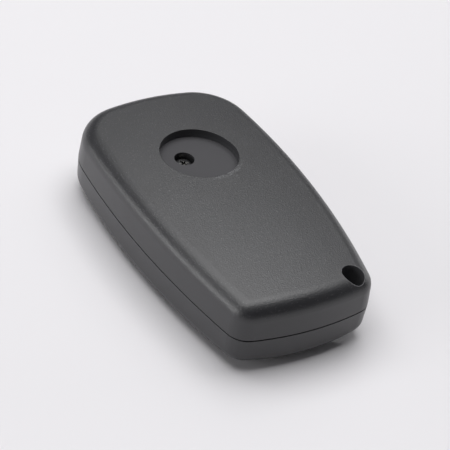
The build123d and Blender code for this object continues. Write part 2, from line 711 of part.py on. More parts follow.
def flip_spring():
    """A coil that turns the arm and pushes the button out, with a leg at each end."""
    low = BUTTON_FLOOR + WIRE_RADIUS
    high = CUP_SEAT - CUP_THICKNESS - WIRE_RADIUS
    path = Helix((high - low) / COIL_TURNS, high - low, COIL_RADIUS)
    section = Plane(path @ 0, z_dir=path % 0) * Circle(WIRE_RADIUS)
    coil = Pos(*HUB, low) * sweep(section, path, is_frenet=True)
    leg = (HUB[0] + COIL_RADIUS, HUB[1])
    coil += disc(leg, WIRE_RADIUS, BUTTON_FLOOR - LEG_LENGTH, low)
    return coil + disc(leg, WIRE_RADIUS, high, CUP_SEAT - CUP_THICKNESS + LEG_LENGTH)


# Remote keys, pad and frame


def remote_key(place):
    """A hard key cap: a dished face, a flange that keeps it in, and a post."""
    low = front_level(*place) + KEY_RECESS
    cap = pill(place, KEY_WIDTH, KEY_LENGTH, KEY_CORNER, low, KEY_TOP)
    flange = (KEY_WIDTH + 2 * KEY_EAR, KEY_LENGTH + 2 * KEY_EAR)
    cap += pill(place, *flange, KEY_CORNER + KEY_EAR, KEY_FLANGE, KEY_TOP)
    inner = (KEY_WIDTH - 2 * KEY_WALL, KEY_LENGTH - 2 * KEY_WALL)
    hollow = pill(place, *inner, KEY_CORNER - KEY_WALL, low + KEY_WALL, KEY_TOP + CUT)
    cap -= hollow - disc(place, KEY_POST, low, KEY_TOP)
    return cap - Pos(*place, low + KEY_DISH - KEY_DISH_RADIUS) * Sphere(KEY_DISH_RADIUS)


def button_pad():
    """A silicone sheet with a hollow dome over each remote key."""
    pad = pill(PAD, PAD_WIDTH, PAD_LENGTH, FRAME_CORNER, PAD_LOW, PAD_HIGH)
    middle = PAD_LOW - DOME_HEIGHT / 2
    for place in KEYS:
        pad += Pos(*place, middle) * Cone(DOME_TIP, DOME_RADIUS, DOME_HEIGHT)
        hollow = Cone(DOME_TIP - DOME_WALL, DOME_RADIUS - DOME_WALL, DOME_HEIGHT)
        pad -= Pos(*place, middle + DOME_WALL) * hollow
        pad -= disc(place, DOME_RADIUS - DOME_WALL, PAD_LOW + DOME_WALL, PAD_HIGH + CUT)
    return pad


def pad_frame():
    """The frame staked over the pad, open above each dome."""
    frame = pill(PAD, PAD_WIDTH, FRAME_LENGTH, FRAME_CORNER, PAD_HIGH, FRAME_HIGH)
    window = (PAD_WIDTH - 2 * FRAME_RAIL, KEY_PITCH - FRAME_RAIL)
    for place in KEYS:
        frame -= pill(place, *window, FRAME_CORNER, 0, SEAM)
    for place in frame_posts():
        frame -= disc(place, STAKE_RADIUS + STAKE_GAP, 0, SEAM)
    return frame - disc(SCREW, SCREW_HOLE + BOSS_WALL + LUG_GAP, 0, SEAM)


# Cell cradle, contacts and transponder holder


def cradle_bar(angle, start, end, half, low, high):
    """A straight bar out from the cradle's middle, at an angle."""
    return Pos(*CRADLE, 0) * Rot(0, 0, angle) * block(start, end, -half, half, low, high)


def cell_cradle():
    """A round tray, open downwards, that a coin cell snaps into."""
    tray = ring(CRADLE, CRADLE_OUTER, CRADLE_INNER, CRADLE_LOW, CRADLE_CEILING)
    tray += ring(CRADLE, CRADLE_OUTER, CRADLE_HOLE, CRADLE_CEILING, CRADLE_TOP)
    for place in cradle_ears():
        tray += disc(place, CRADLE_EAR, CRADLE_CEILING, CRADLE_TOP)
        tray -= disc(place, STAKE_RADIUS + STAKE_GAP, 0, TOP)
    radii = (CRADLE_INNER + CRADLE_LIP, CRADLE_INNER - CRADLE_LIP)
    lip = ring(CRADLE, *radii, CRADLE_LOW, CRADLE_LOW + CRADLE_LIP)
    for angle in LIP_ANGLES:
        tray += lip & cradle_bar(angle, 0, CRADLE_OUTER, CONTACT_WIDTH / 2, 0, TOP)
    half = CONTACT_WIDTH / 2 + CRADLE_GAP
    return tray - cradle_bar(CONTACT_ANGLE, CELL_RADIUS, CRADLE_OUTER + CUT, half, 0, CRADLE_CEILING)


def positive_contact():
    """A strip in the cradle's wall that touches the cell's edge, with a tab outwards."""
    inner = CRADLE_INNER
    outer = inner + CONTACT_THICKNESS
    half = CONTACT_WIDTH / 2
    strip = cradle_bar(CONTACT_ANGLE, inner, outer, half, CRADLE_LOW, CRADLE_CEILING)
    tab_high = CRADLE_LOW + CONTACT_THICKNESS
    return strip + cradle_bar(CONTACT_ANGLE, inner, outer + CONTACT_TAB, half, CRADLE_LOW, tab_high)


def negative_contact():
    """A leaf under the cradle's base, bent down to the middle of the cell."""
    half = CONTACT_WIDTH / 2
    high = CRADLE_CEILING
    low = high - CONTACT_THICKNESS
    bend = CRADLE_HOLE + CONTACT_BEND
    leaf = cradle_bar(180, bend, CRADLE_INNER - CRADLE_GAP, half, low, high)
    edge = [
        (bend, high),
        (0, high - CONTACT_DROP),
        (0, low - CONTACT_DROP),
        (bend, low),
    ]
    finger = extrude(Plane.XZ * make_face(Polyline(*edge, close=True)), half, both=True)
    return leaf + Pos(*CRADLE, 0) * Rot(0, 0, 180) * finger


def chip_holder():
    """A narrow open box for the transponder."""
    box = pill(CHIP, *CHIP_SIZE, CHIP_WALL, CHIP_SEAT, CHIP_TOP)
    return box - pill(CHIP, CHIP_WIDTH, CHIP_LENGTH, CHIP_WALL / 2, CHIP_SEAT + CHIP_WALL, SEAM)


def chip_cover():
    """The lid of the transponder holder, with a plug that fits inside it."""
    lid = pill(CHIP, *CHIP_SIZE, CHIP_WALL, CHIP_TOP, CHIP_TOP + CHIP_WALL)
    plug = (CHIP_WIDTH - 2 * CHIP_GAP, CHIP_LENGTH - 2 * CHIP_GAP)
    return lid + pill(CHIP, *plug, CHIP_WALL / 2, CHIP_TOP - CHIP_PLUG, CHIP_TOP)


def nodes():
    """Every piece, by name."""
    pieces = {
        "rear_cover": rear_cover(),
        "front_cover": front_cover(),
        "cover_screw": cover_screw(),
        "key_blade": key_blade(),
        "blade_arm": blade_arm(),
        "blade_pin": blade_pin(),
        "hub_washer": hub_washer(),
        "release_button": release_button(),
        "spring_cup": spring_cup(),
        "flip_spring": flip_spring(),
        "button_pad": button_pad(),
        "pad_frame": pad_frame(),
        "cell_cradle": cell_cradle(),
        "positive_contact": positive_contact(),
        "negative_contact": negative_contact(),
        "chip_holder": chip_holder(),
        "chip_cover": chip_cover(),
    }
    for name, place in zip(KEY_NAMES, KEYS):
        pieces[name] = remote_key(place)
    return pieces


os.makedirs("parts", exist_ok=True)
for name, piece in nodes().items():
    print(name, len(piece.solids()), round(piece.volume, 2))
    export_step(piece, f"parts/{name}.step")
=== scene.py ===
# %% [markdown]
# # A flip key shell, dressed over its solids
#
# The object is the empty case of a folding car key, lying on its button side.
# The solids come in first as a fixed frame, in metres: nothing that follows moves them.
# Each step says what a piece is on the real thing, how it could be made, and why this way.

from math import pi, radians

import bpy
from mathutils import Matrix, Vector


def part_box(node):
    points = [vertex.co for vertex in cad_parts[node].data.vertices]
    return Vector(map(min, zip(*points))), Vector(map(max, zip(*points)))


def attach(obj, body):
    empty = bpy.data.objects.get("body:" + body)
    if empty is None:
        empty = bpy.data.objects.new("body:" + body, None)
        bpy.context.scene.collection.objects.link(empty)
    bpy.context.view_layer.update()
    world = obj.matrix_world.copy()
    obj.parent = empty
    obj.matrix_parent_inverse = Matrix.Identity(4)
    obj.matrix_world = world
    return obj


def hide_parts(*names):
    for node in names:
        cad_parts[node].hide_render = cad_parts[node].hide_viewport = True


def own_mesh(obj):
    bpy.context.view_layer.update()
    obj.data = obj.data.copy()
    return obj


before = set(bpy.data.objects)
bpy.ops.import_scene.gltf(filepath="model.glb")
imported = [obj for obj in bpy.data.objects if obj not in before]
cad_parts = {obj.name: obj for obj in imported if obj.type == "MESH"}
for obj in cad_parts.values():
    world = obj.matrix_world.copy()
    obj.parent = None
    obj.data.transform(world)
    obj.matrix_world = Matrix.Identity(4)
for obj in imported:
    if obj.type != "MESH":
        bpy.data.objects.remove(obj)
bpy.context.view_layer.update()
print("nodes", len(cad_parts))

# %% [markdown]
# ## A small language for shader maths
#
# A finish is easier to read as a formula than as a picture of wires.
# One class wraps a socket, so that an expression such as `1 - mask` adds its own Math node.
# Every other node comes from one function: its kind, its settings, then its sockets.

# %% Signals and nodes


def node(tree, kind, settings=None, inputs=None, output=0):
    """Adds a node: its settings first, then the value or the link of each socket."""
    made = tree.nodes.new(kind)
    for name, value in (settings or {}).items():
        setattr(made, name, value)
    for name, value in (inputs or {}).items():
        if isinstance(value, Signal):
            tree.links.new(value.socket, made.inputs[name])
        else:
            made.inputs[name].default_value = value
    return Signal(made.outputs[output])


class Signal:
    """One output socket, which can be added, multiplied and compared."""

    def __init__(self, socket):
        self.socket = socket
        self.tree = socket.id_data

    def math(self, operation, first, second):
        return node(self.tree, "ShaderNodeMath", {"operation": operation}, {0: first, 1: second})

    def __add__(self, other):
        return self.math("ADD", self, other)

    def __radd__(self, other):
        return self.math("ADD", other, self)

    def __sub__(self, other):
        return self.math("SUBTRACT", self, other)

    def __rsub__(self, other):
        return self.math("SUBTRACT", other, self)

    def __mul__(self, other):
        return self.math("MULTIPLY", self, other)

    def __rmul__(self, other):
        return self.math("MULTIPLY", other, self)

    def __lt__(self, other):
        return self.math("LESS_THAN", self, other)

    def __gt__(self, other):
        return self.math("GREATER_THAN", self, other)


# %% [markdown]
# ## Words that every finish uses
#
# A place on the piece, a noise of a given grain size, a soft step between two values,
# and a blend of two colours. Sizes are in metres, so a grain of 0.3 mm is 0.0003.
# The Mix node keeps the sockets of every kind of value side by side,
# so its colours are found by number.

# %% Places and patterns
NOISE_ROUGHNESS = 0.6
PIT_SOFTNESS = 0.5


def place(tree):
    """Where a point lies in the piece's own frame."""
    return node(tree, "ShaderNodeTexCoord", output="Object")


def axes(tree):
    """The three numbers of that place."""
    parts = node(tree, "ShaderNodeSeparateXYZ", inputs={0: place(tree)}).socket.node
    return [Signal(output) for output in parts.outputs]


def noise(tree, grain, detail=2.0, stretch=(1, 1, 1)):
    """A cloudy pattern with spots about as large as the grain."""
    where = node(
        tree, "ShaderNodeMapping", inputs={"Vector": place(tree), "Scale": Vector(stretch)}
    )
    inputs = {
        "Vector": where,
        "Scale": 1 / grain,
        "Detail": detail,
        "Roughness": NOISE_ROUGHNESS,
    }
    return node(tree, "ShaderNodeTexNoise", inputs=inputs)


def pits(tree, grain):
    """Small round pits, packed side by side."""
    settings = {"feature": "SMOOTH_F1"}
    inputs = {"Vector": place(tree), "Scale": 1 / grain, "Smoothness": PIT_SOFTNESS}
    return node(tree, "ShaderNodeTexVoronoi", settings, inputs)


# %% Steps, blends and relief
MIX_FACTOR, MIX_FIRST, MIX_SECOND, MIX_RESULT = 0, 6, 7, 2


def step(signal, low, high):
    """0 below low and 1 above high, with a soft slope between."""
    settings = {"interpolation_type": "SMOOTHSTEP"}
    inputs = {"Value": signal, "From Min": low, "From Max": high}
    return node(signal.tree, "ShaderNodeMapRange", settings, inputs)


def blend(factor, first, second):
    """One colour where the factor is 0, the other where it is 1."""
    inputs = {MIX_FACTOR: factor, MIX_FIRST: (*first, 1), MIX_SECOND: (*second, 1)}
    return node(factor.tree, "ShaderNodeMix", {"data_type": "RGBA"}, inputs, MIX_RESULT)


def bump(height, depth, under):
    """Turns a height from 0 to 1 into relief of a given depth in metres, on another normal."""
    inputs = {"Height": height, "Distance": depth, "Normal": under}
    return node(height.tree, "ShaderNodeBump", inputs=inputs)


# %% Materials


def finish(name):
    """A new material, with its tree and its surface shader."""
    material = bpy.data.materials.new(name)
    material.use_nodes = True
    tree = material.node_tree
    return material, tree, tree.nodes["Principled BSDF"]


def feed(shader, **sockets):
    """Sets or links the shader's sockets by name."""
    for name, value in sockets.items():
        socket = shader.inputs[name.replace("_", " ")]
        if isinstance(value, Signal):
            shader.id_data.links.new(value.socket, socket)
        else:
            socket.default_value = value


# %% [markdown]
# ## The case plastic
# The recess wall, more so at its foot, and the ring hole's bore are painted lighter: painted light.
#
# The covers are black nylon-like plastic from a spark-eroded mould: fine pits cover the face,
# and the walls of the pits catch the light as tiny sparks, painted as lighter specks in the colour.
# Paint or a picture could give the tone, but only relief at the right scale changes with the light.
# The face gets pits in two sizes and the side walls a calmer grain.
# A separate pin in the mould forms the badge floor, so that is an even matt.
# On one side the rim of the badge recess gets extra painted highlights, as lighter specks.
#
# Each of these places is found by its height and its distance from an axis, not by painting.
# The face's level falls off along and across the case, and the depth below it says what is what.
# A real moulding has no knife edges, so the shader rounds each one by a fifth of a millimetre.

# %% Where the case plastic changes
BADGE_CENTRE = (0.0, 0.0115)
BADGE_RADIUS = 0.00815
BADGE_FLOOR = 0.01495
RING_CENTRE = (0.0109, -0.0306)
RING_RADIUS = 0.00245
FACE_LEVEL = 0.0172
BEND_ALONG = 1.06
BEND_ACROSS = 3.3
FACE_ENDS = (0.0006, 0.0030)
RECESS_DEPTHS = (0.0001, 0.0026)
FOOT_DEPTHS = (0.0009, 0.0014)
WALL_INSIDE = 0.0002
WALL_OUTSIDE = 0.0001
# The rim's painted glint: a band just outside the badge rim, on one side only.
PAINTED_GLINT_WIDTH = 0.0009
PAINTED_GLINT_TOWARDS = (0.35, -0.94)
PAINTED_GLINT_SPAN = (0.0072, 0.0082)
EDGE_SAMPLES = 6


def soft_edges(tree, radius):
    """A normal that rounds sharp edges by a radius in metres."""
    return node(tree, "ShaderNodeBevel", {"samples": EDGE_SAMPLES}, {"Radius": radius})


def within(tree, centre, radius):
    """1 inside an upright cylinder, 0 outside it."""
    x, y, _ = axes(tree)
    across = x - centre[0]
    along = y - centre[1]
    return (across * across + along * along) < radius * radius


def case_places(tree):
    """Where the face, the badge floor, its wall, that wall's foot and the rim's painted glint are.
    """
    x, y, z = axes(tree)
    depth = FACE_LEVEL - y * y * BEND_ALONG - x * x * BEND_ACROSS - z
    recess = within(tree, BADGE_CENTRE, BADGE_RADIUS + WALL_OUTSIDE)
    recess = recess * (depth < RECESS_DEPTHS[1]) * (depth > RECESS_DEPTHS[0])
    upright = 1 - within(tree, BADGE_CENTRE, BADGE_RADIUS - WALL_INSIDE)
    wall = recess * (z > BADGE_FLOOR) * upright
    face = (1 - step(depth, *FACE_ENDS)) * (1 - recess)
    rim = within(tree, BADGE_CENTRE, BADGE_RADIUS + PAINTED_GLINT_WIDTH) * face
    across = (x - BADGE_CENTRE[0]) * PAINTED_GLINT_TOWARDS[0]
    along = (y - BADGE_CENTRE[1]) * PAINTED_GLINT_TOWARDS[1]
    return {
        "recess": recess,
        "floor": recess * (z < BADGE_FLOOR),
        "wall": wall,
        "foot": step(depth, *FOOT_DEPTHS) * wall,
        "face": face,
        # On the case this is only a painted highlight on one side of the rim, not wear.
        "wear_and_glint": rim * step(across + along, *PAINTED_GLINT_SPAN),
        "bore": within(tree, RING_CENTRE, RING_RADIUS),
    }


# %% Case plastic
PIT_SIZE = 0.00034
GRAIN_SIZE = 0.00020
SPARK_SIZE = 0.00028
CLOUD_SIZE = 0.012
HAZE_SIZE = 0.003
PIT_DEPTH = 0.00005
EDGE_ROUND = 0.0002
PIT_SHARE = 0.5
GRAIN_SHARE = 0.9
WALL_RELIEF = 0.15
SPARK_SPAN = (0.65, 0.74)
PAINTED_GLINT_SPARKS = 0.17
CASE_BLACK = (0.0220, 0.0221, 0.0245)
CASE_GREY = (0.115, 0.116, 0.124)
CASE_ROUGHNESS = 0.27
GRAIN_ROUGHNESS = 0.14
CASE_IOR = 1.6
CLOUD_TONE = 0.11
SPARK_TONE = 0.85
# Painted light: how much lighter the recess wall, its foot and the ring hole's bore are made.
PAINTED_LIGHT_TONES = {"wall": 0.12, "foot": 0.25, "bore": 0.7}
FLOOR_DARK = (0.076, 0.075, 0.080)
FLOOR_LIGHT = (0.100, 0.099, 0.105)
FLOOR_ROUGHNESS = 0.5
FLOOR_IOR = 1.2
HAZE_STRENGTH = 0.2


def badge_floor(tree):
    """The even matt of the badge floor, as a shader of its own."""
    haze = noise(tree, HAZE_SIZE, detail=3.0) * HAZE_STRENGTH
    colour = blend(haze, FLOOR_DARK, FLOOR_LIGHT)
    inputs = {"Base Color": colour, "Roughness": FLOOR_ROUGHNESS + haze, "IOR": FLOOR_IOR}
    return node(tree, "ShaderNodeBsdfPrincipled", inputs=inputs, output="BSDF")


def case_plastic():
    """Pitted black plastic, with the matt floor mixed in."""
    material, tree, shader = finish("case_plastic")
    at = case_places(tree)
    fine = noise(tree, GRAIN_SIZE, detail=3.0)
    calm = at["face"] * (1 - WALL_RELIEF) + WALL_RELIEF
    relief = pits(tree, PIT_SIZE) * PIT_SHARE + fine * GRAIN_SHARE
    relief = relief * calm * (1 - at["recess"])
    # More painted sparks on one side of the badge rim.
    grain = noise(tree, SPARK_SIZE, detail=1.0) + at["wear_and_glint"] * PAINTED_GLINT_SPARKS
    # Painted highlights: lighter specks in the face's colour where the noise is high.
    painted_spark = step(grain, *SPARK_SPAN) * at["face"]
    cloud = noise(tree, CLOUD_SIZE, detail=2.0)
    tone_and_painted_light = cloud * CLOUD_TONE + painted_spark * SPARK_TONE
    # Painted light on the recess wall, its foot and the ring hole's bore.
    for name, painted_lift in PAINTED_LIGHT_TONES.items():
        tone_and_painted_light = tone_and_painted_light + at[name] * painted_lift
    feed(
        shader,
        Base_Color=blend(tone_and_painted_light, CASE_BLACK, CASE_GREY),
        Roughness=CASE_ROUGHNESS + fine * GRAIN_ROUGHNESS,
        IOR=CASE_IOR,
        Normal=bump(relief, PIT_DEPTH, soft_edges(tree, EDGE_ROUND)),
    )
    pitted = Signal(shader.outputs["BSDF"])
    inputs = {0: at["floor"], 1: pitted, 2: badge_floor(tree)}
    both = node(tree, "ShaderNodeMixShader", inputs=inputs)
    tree.links.new(both.socket, tree.nodes["Material Output"].inputs["Surface"])
    return material


def paint(material, *names):
    """Gives CAD nodes a finish."""
    for name in names:
        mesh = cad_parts[name].data
        mesh.materials.clear()
        mesh.materials.append(material)
    print(material.name, "on", ", ".join(names))


case_finish = case_plastic()
paint(case_finish, "rear_cover", "front_cover")
print("case plastic nodes", len(case_finish.node_tree.nodes))

# %% [markdown]
# ## The other plastics
#
# The arm is glass-filled nylon: satin, with a faint flow pattern along the way it was injected.
# The caps that a thumb touches are a smoother black.
# The parts inside come from plain, unpolished moulds.
# Each could have nodes of its own, but they differ in no more than a few numbers,
# so one recipe makes all of them, with a tone, a gloss and a grain size for each.

# %% Other plastics
FLOW_SIZE = 0.006
ALONG_FLOW = (1, 0.35, 1)
NOISE_MIDDLE = 0.5
FLOW_LIGHTER = 1.35
FLOW_ROUGHNESS = 0.10
FINE_ROUGHNESS = 0.12
PLASTIC_IOR = 1.52


def moulded(name, colour, roughness, grain, depth, edge=0.00012):
    """A plain moulded plastic with a fine grain and a slow drift in tone and gloss."""
    material, tree, shader = finish(name)
    fine = noise(tree, grain, detail=3.0)
    flow = noise(tree, FLOW_SIZE, detail=2.0, stretch=ALONG_FLOW)
    light = tuple(min(1.0, channel * FLOW_LIGHTER) for channel in colour)
    drift = (flow - NOISE_MIDDLE) * FLOW_ROUGHNESS
    grit = (fine - NOISE_MIDDLE) * FINE_ROUGHNESS
    feed(
        shader,
        Base_Color=blend(flow, colour, light),
        Roughness=roughness + drift + grit,
        IOR=PLASTIC_IOR,
        Normal=bump(fine, depth, soft_edges(tree, edge)),
    )
    return material


arm_finish = moulded(
    "arm_plastic", (0.020, 0.020, 0.021), roughness=0.40, grain=0.00030, depth=0.00002
)
button_finish = moulded(
    "button_plastic", (0.022, 0.022, 0.023), roughness=0.30, grain=0.00045, depth=0.000008
)
inner_finish = moulded(
    "inner_plastic", (0.035, 0.035, 0.036), roughness=0.50, grain=0.00025, depth=0.00002
)
washer_finish = moulded(
    "washer_plastic",
    (0.62, 0.61, 0.56),
    roughness=0.42,
    grain=0.00030,
    depth=0.00001,
    edge=0.00005,
)
silicone_finish = moulded(
    "silicone", (0.050, 0.050, 0.054), roughness=0.62, grain=0.00020, depth=0.00001
)
pill_finish = moulded(
    "carbon_rubber", (0.012, 0.012, 0.012), roughness=0.75, grain=0.00015, depth=0.00001
)
paint(arm_finish, "blade_arm", "spring_cup")
paint(button_finish, "release_button", "lock_button", "boot_button", "unlock_button")
paint(inner_finish, "pad_frame", "cell_cradle", "chip_holder", "chip_cover")
paint(washer_finish, "hub_washer")

# %% [markdown]
# ## The metals
#
# The blade is nickel silver, cut from strip and milled along its length: fine lines run along it.
# The spring and the pin are drawn steel wire, and the contacts are nickel-plated strip.
# A picture of such lines would repeat along the blade, and a stretched noise doesn't.
# A metal needs its lines in the roughness and the relief; its colour hardly changes.

# %% Metals
LINE_SIZE = 0.00012
STAIN_SIZE = 0.004
STAIN_DULLER = 0.82
STAIN_TONE, LINE_TONE = 0.6, 0.4
STAIN_ROUGHNESS, LINE_ROUGHNESS = 0.10, 0.08
ALONG = (1, 0.03, 1)
EVENLY = (1, 1, 1)


def metal(name, colour, roughness, stretch, depth, edge=0.0001):
    """A bright metal with fine lines along the axis that has the small number in stretch."""
    material, tree, shader = finish(name)
    lines = noise(tree, LINE_SIZE, detail=3.0, stretch=stretch)
    stain = noise(tree, STAIN_SIZE, detail=3.0)
    dull = tuple(channel * STAIN_DULLER for channel in colour)
    feed(
        shader,
        Base_Color=blend(stain * STAIN_TONE + lines * LINE_TONE, colour, dull),
        Metallic=1.0,
        Roughness=roughness + stain * STAIN_ROUGHNESS + lines * LINE_ROUGHNESS,
        Normal=bump(lines, depth, soft_edges(tree, edge)),
    )
    return material


blade_finish = metal(
    "blade_metal", (0.60, 0.58, 0.54), roughness=0.24, stretch=ALONG, depth=0.000006
)
wire_finish = metal(
    "spring_steel",
    (0.42, 0.42, 0.43),
    roughness=0.30,
    stretch=EVENLY,
    depth=0.000003,
    edge=0.00005,
)
strip_finish = metal(
    "contact_metal",
    (0.66, 0.63, 0.56),
    roughness=0.26,
    stretch=EVENLY,
    depth=0.000003,
    edge=0.00005,
)
paint(blade_finish, "key_blade")
paint(wire_finish, "blade_pin")
paint(strip_finish, "positive_contact", "negative_contact")

# %% [markdown]
# ## The screw's black finish
#
# The cover screw is zinc plated and blackened. Drivers have rubbed the finish off in places.
# The spots follow no plan, so they need no painting by hand:
# a noise with a sharp step chooses between the black coat and the bare metal.

# %% Screw finish
RUB_SIZE = 0.0005
RUB_SPAN = (0.56, 0.62)
COAT_BLACK = (0.030, 0.030, 0.032)
BARE_METAL = (0.30, 0.29, 0.27)
COAT_METALLIC = 0.4
COAT_ROUGHNESS = 0.30
RUBBED_POLISH = 0.08
COAT_GRAIN = 0.0002
COAT_DEPTH = 0.000006
COAT_EDGE = 0.0001


def black_zinc():
    """A black coat, rubbed through to the metal in spots."""
    material, tree, shader = finish("screw_steel")
    # On the screw these spots are wear: bare metal through the coat.
    wear_and_glint = step(noise(tree, RUB_SIZE, detail=3.0), *RUB_SPAN)
    feed(
        shader,
        Base_Color=blend(wear_and_glint, COAT_BLACK, BARE_METAL),
        Metallic=wear_and_glint * (1 - COAT_METALLIC) + COAT_METALLIC,
        Roughness=COAT_ROUGHNESS - wear_and_glint * RUBBED_POLISH,
        Normal=bump(noise(tree, COAT_GRAIN), COAT_DEPTH, soft_edges(tree, COAT_EDGE)),
    )
    return material


screw_finish = black_zinc()
print("finishes", len(bpy.data.materials))

# %% [markdown]
# ## Words for modelling
#
# Most steps repeat: add a primitive, shape some of its faces in edit mode, apply a modifier,
# then put the finished piece's origin where the frame's is. Each gets a short function.
# Faces are chosen by their direction, not by their number, so a changed size keeps the choice.

# %% Start and name a piece
MM = 0.001


def start_clean():
    """Leaves nothing selected, so that an operator acts only on what comes next."""
    bpy.ops.object.select_all(action="DESELECT")


def named(name):
    """Names the piece that was just added."""
    made = bpy.context.object
    made.name = name
    return made


# %% Edit mode
NEARLY_STRAIGHT = 0.9


def faces_up(face):
    """Whether a face points up."""
    return face.normal.z > NEARLY_STRAIGHT


def faces_down(face):
    """Whether a face points down."""
    return face.normal.z < -NEARLY_STRAIGHT


def edit_faces(piece, wanted):
    """Goes into edit mode with only the wanted faces selected."""
    start_clean()
    piece.select_set(True)
    bpy.context.view_layer.objects.active = piece
    bpy.ops.object.mode_set(mode="EDIT")
    bpy.ops.mesh.select_mode(type="FACE")
    bpy.ops.mesh.select_all(action="DESELECT")
    bpy.ops.object.mode_set(mode="OBJECT")
    for face in piece.data.polygons:
        face.select = wanted(face)
    bpy.ops.object.mode_set(mode="EDIT")


def leave_edit():
    """Goes back to object mode, which writes the changes to the mesh."""
    bpy.ops.object.mode_set(mode="OBJECT")


# %% Apply, settle and coat
SMOOTH_ANGLE = 35


def modify(piece, kind, **settings):
    """Adds a modifier and applies it at once."""
    modifier = piece.modifiers.new(kind.lower(), kind)
    for name, value in settings.items():
        setattr(modifier, name, value)
    start_clean()
    piece.select_set(True)
    bpy.context.view_layer.objects.active = piece
    bpy.ops.object.modifier_apply(modifier=modifier.name)


def settle(piece):
    """Puts a finished piece's origin at the frame's, and smooths its round faces."""
    start_clean()
    piece.select_set(True)
    bpy.context.view_layer.objects.active = piece
    bpy.ops.object.transform_apply(location=True, rotation=True, scale=True)
    bpy.ops.object.shade_smooth_by_angle(angle=radians(SMOOTH_ANGLE))
    size = [round(length / MM, 2) for length in piece.dimensions]
    print(piece.name, "faces", len(piece.data.polygons), "size mm", size)


def coat(piece, material):
    """Gives a new piece one finish."""
    piece.data.materials.clear()
    piece.data.materials.append(material)


# %% [markdown]
# ## The cover screw
#
# One small screw under the badge holds the covers together: a pan head with a cross recess,
# and a coarse thread that cuts its own way into the plastic boss.
# The head is a drum whose top edge is bevelled round. Two tapered bars cut the cross.
# Relief in the finish could hint at the thread, but it would leave the mesh smooth,
# so a three-sided ring is wound round a thinner core by the Screw modifier.

# %% Screw sizes


def middle(low, high):
    """The point halfway between two corners."""
    return (low + high) / 2


screw_low, screw_high = (Vector(corner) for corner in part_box("cover_screw"))
screw_x, screw_y, _ = middle(screw_low, screw_high)
HEAD_RADIUS = (screw_high.x - screw_low.x) / 2
HEAD_HEIGHT = 1.3 * MM
HEAD_ROUND = 0.8 * MM
CROSS_BAR = (2.1 * MM, 0.5 * MM, 1.7 * MM)
CROSS_TAPER = (0.45, 0.7, 1.0)
CROSS_TURN = radians(25)
THREAD_RADIUS = 1.0 * MM
CORE_RADIUS = 0.74 * MM
THREAD_PITCH = 0.85 * MM
RIDGE = (THREAD_RADIUS - CORE_RADIUS) * 0.8
THREAD_STEPS = 32
TIP_LENGTH = 1.2 * MM
TIP_RADIUS = 0.2 * MM
seat = screw_high.z - HEAD_HEIGHT
tip_top = screw_low.z + TIP_LENGTH
print("screw length mm", round((screw_high.z - screw_low.z) / MM, 2))


def on_screw(level):
    """A point on the screw's axis."""
    return (screw_x, screw_y, level)


# %% Screw head


def cut(piece, tool):
    """Cuts a piece with a tool and throws the tool away."""
    modify(piece, "BOOLEAN", operation="DIFFERENCE", solver="EXACT", object=tool)
    bpy.data.objects.remove(tool)


start_clean()
bpy.ops.mesh.primitive_cylinder_add(
    vertices=96,
    radius=HEAD_RADIUS,
    depth=HEAD_HEIGHT,
    location=on_screw(seat + HEAD_HEIGHT / 2),
)
head = named("cover_screw_visual")
edit_faces(head, faces_up)
bpy.ops.mesh.bevel(offset=HEAD_ROUND, segments=8, affect="EDGES")
leave_edit()

for turn in (0, pi / 2):
    start_clean()
    bpy.ops.mesh.primitive_cube_add(size=1, location=on_screw(screw_high.z))
    bar = named("cross_bar")
    bar.scale = CROSS_BAR
    bar.rotation_euler.z = CROSS_TURN + turn
    edit_faces(bar, faces_down)
    bpy.ops.transform.resize(value=CROSS_TAPER, center_override=bar.location)
    leave_edit()
    cut(head, bar)

# %% Screw shank
start_clean()
bpy.ops.mesh.primitive_cylinder_add(
    vertices=48,
    radius=CORE_RADIUS,
    depth=seat - tip_top,
    location=on_screw((seat + tip_top) / 2),
)
core = named("screw_core")
start_clean()
bpy.ops.mesh.primitive_cone_add(
    vertices=48,
    radius1=TIP_RADIUS,
    radius2=CORE_RADIUS,
    depth=TIP_LENGTH,
    location=on_screw(screw_low.z + TIP_LENGTH / 2),
)
tip = named("screw_tip")

# %% Screw thread


def wind(piece, pitch, turns, steps):
    """Winds a flat ring into a coil, fills its open ends and turns its faces outwards."""
    modify(piece, "SCREW", screw_offset=pitch, iterations=turns, steps=steps, render_steps=steps)
    edit_faces(piece, lambda face: True)
    bpy.ops.mesh.fill_holes(sides=0)
    bpy.ops.mesh.select_all(action="SELECT")
    bpy.ops.mesh.normals_make_consistent(inside=False)
    leave_edit()


start_clean()
bpy.ops.mesh.primitive_circle_add(
    vertices=3, radius=RIDGE, location=(0, 0, 0), rotation=(pi / 2, 0, 0)
)
thread = named("screw_thread")
bpy.ops.object.transform_apply(rotation=True)
edge = max(point.co.x for point in thread.data.vertices)
for point in thread.data.vertices:
    point.co.x += THREAD_RADIUS - edge
turns = int((seat - tip_top) / THREAD_PITCH) - 1
wind(thread, THREAD_PITCH, turns, THREAD_STEPS)
thread.location = on_screw(tip_top)

# %% Screw in one piece


def join(main, *others):
    """Joins pieces into the first."""
    start_clean()
    for piece in (main, *others):
        piece.select_set(True)
    bpy.context.view_layer.objects.active = main
    bpy.ops.object.join()


join(head, core, tip, thread)
settle(head)
coat(head, screw_finish)
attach(head, "case")
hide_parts("cover_screw")

# %% [markdown]
# ## The silicone pad
#
# Under each remote key a silicone dome springs the key back
# and presses a conductive pill on the board.
# The sheet and its domes are one moulding, but a dome folds as its key goes down,
# so each dome is a piece of its own.
# The sheet is a slab with rounded corners, three holes and a shallow channel for the air.
# It could be extruded from a drawn outline, but cuts in a slab take each place from its key.

